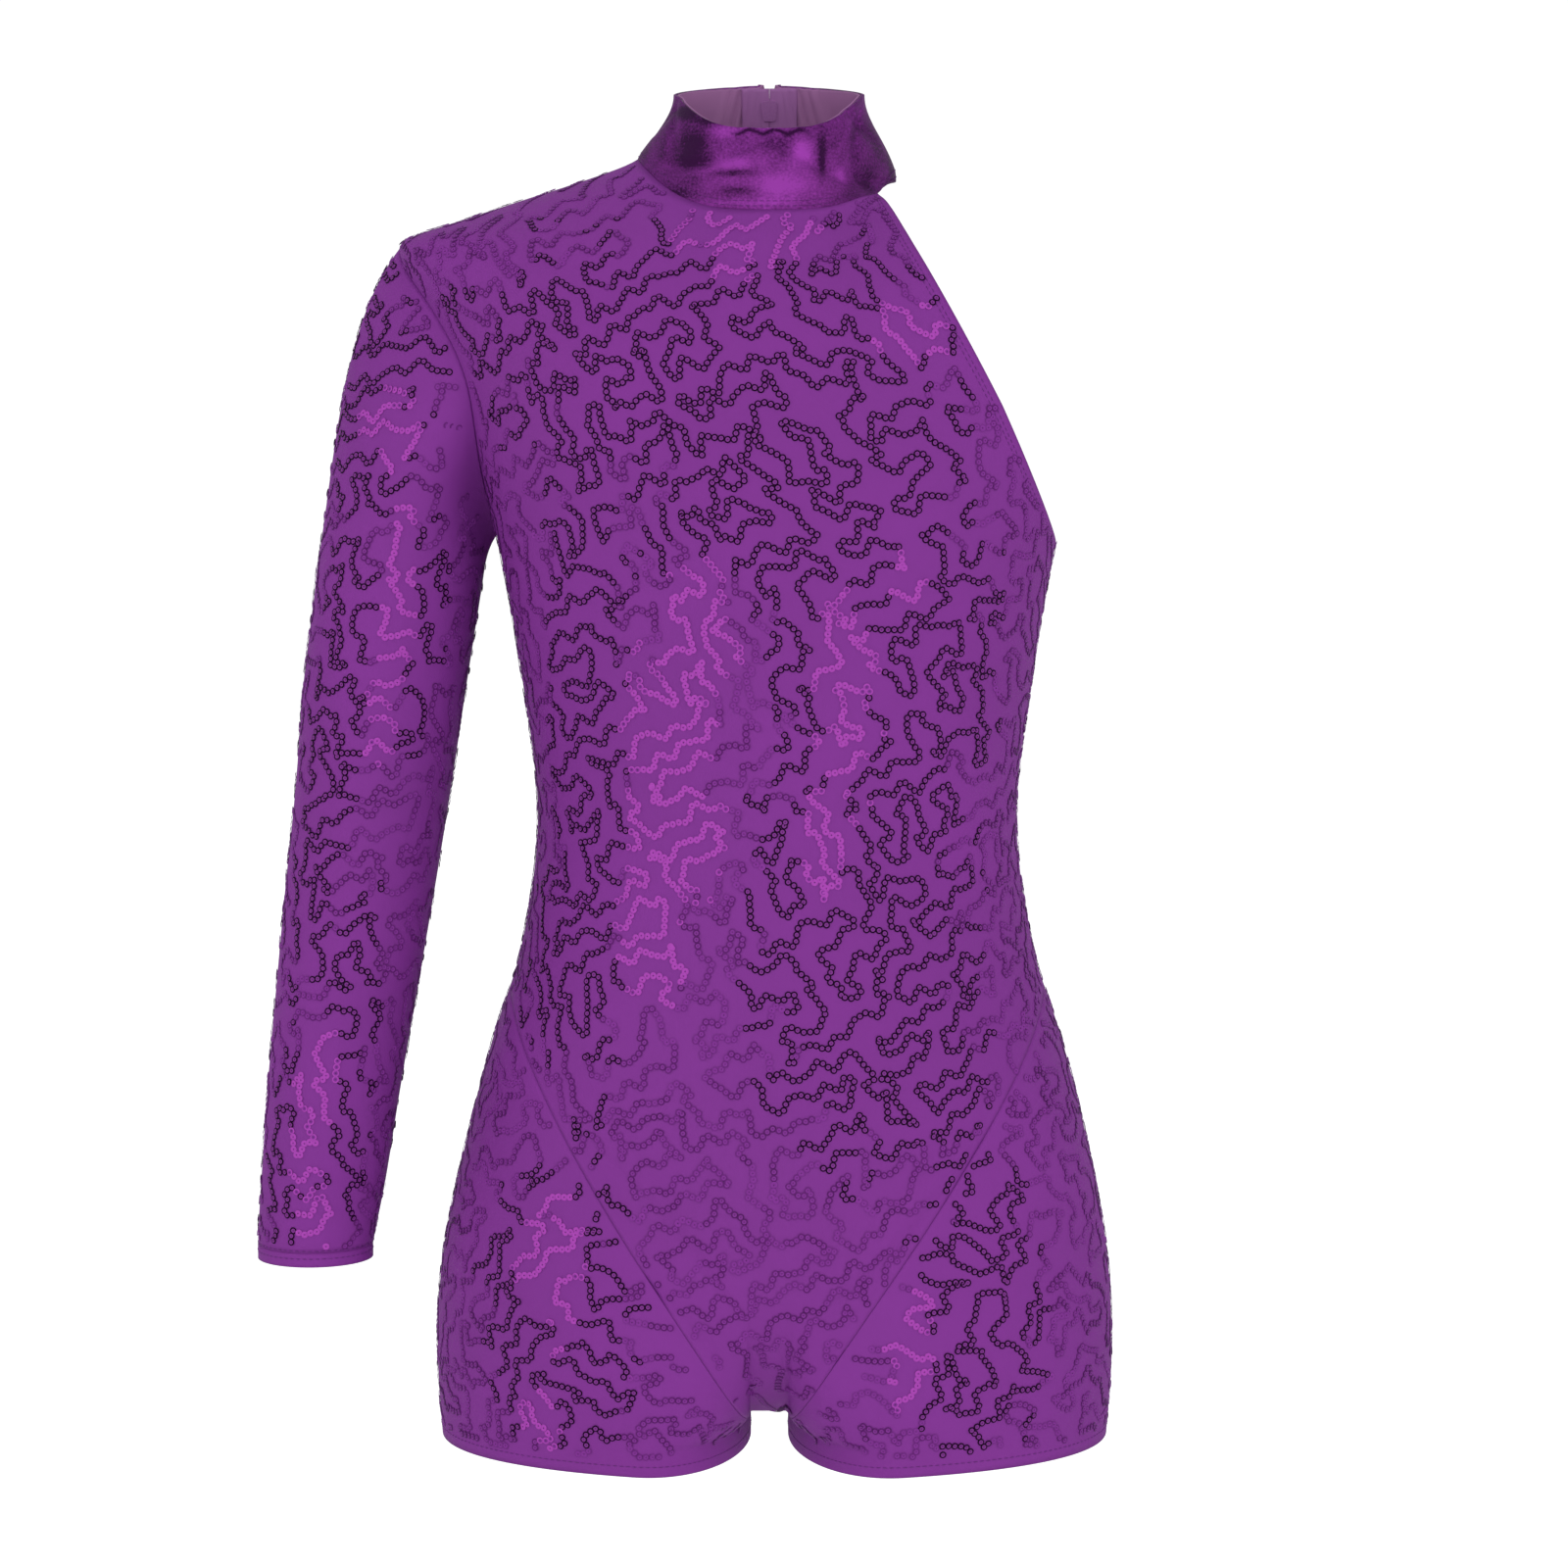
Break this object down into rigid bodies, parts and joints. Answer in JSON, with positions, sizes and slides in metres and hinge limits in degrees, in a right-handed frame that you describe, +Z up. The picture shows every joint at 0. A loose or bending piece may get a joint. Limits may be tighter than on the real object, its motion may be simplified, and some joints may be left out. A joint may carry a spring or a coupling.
{
  "type": "gymnastics leotard",
  "caption": "Stretch leotard with one long sleeve, one bare shoulder, boy-short legs and a zipped stand collar, shown as worn.",
  "frame": {"origin": "centre of the neck opening, where the wearer's neck comes out of the collar", "axes": "+Z up along the wearer's spine, the wearer faces -Y, +X is the wearer's left"},
  "size_m": [0.3666, 0.1986, 0.581],
  "materials": {
    "sequin_knit": "knit with sequins",
    "binding_knit": "plain stretch knit",
    "foil_knit": "metallic foil on knit",
    "matte_lining": "matte stretch lining",
    "elastic": "woven elastic",
    "cotton_lining": "cotton jersey",
    "label_satin": "satin ribbon",
    "zip_tape": "woven tape",
    "zip_coil": "nylon coil",
    "zip_metal": "painted zinc"
  },
  "bodies": {
    "garment": {"front_body": "sequin_knit", "back_left": "sequin_knit", "back_right": "sequin_knit", "sleeve": "sequin_knit", "leg_left": "sequin_knit", "leg_right": "sequin_knit", "collar_shell": "foil_knit", "collar_lining": "matte_lining", "collar_elastic": "elastic", "armhole_binding": "binding_knit", "armhole_elastic": "elastic", "cuff_hem": "binding_knit", "leg_hem_left": "binding_knit", "leg_hem_right": "binding_knit", "leg_elastic_left": "elastic", "leg_elastic_right": "elastic", "gusset_lining": "cotton_lining", "zip_tape_left": "zip_tape", "zip_tape_right": "zip_tape", "zip_coil_left": "zip_coil", "zip_coil_right": "zip_coil", "zip_top_stops": "zip_metal", "zip_bottom_stop": "zip_metal", "care_label": "label_satin"},
    "slider": {"zip_slider": "zip_metal"},
    "pull": {"pull_tab": "zip_metal"}
  },
  "joints": [
    {"name": "slider_travel", "type": "hinge", "parent": "garment", "child": "slider", "pos_m": [0, -0.427, -0.191], "axis": [-1, 0, 0], "range_deg": [0, 29.2]},
    {"name": "pull_flip", "type": "hinge", "parent": "slider", "child": "pull", "pos_m": [0, 0.04771, -0.00159], "axis": [1, 0, 0], "range_deg": [0, 150]}
  ]
}
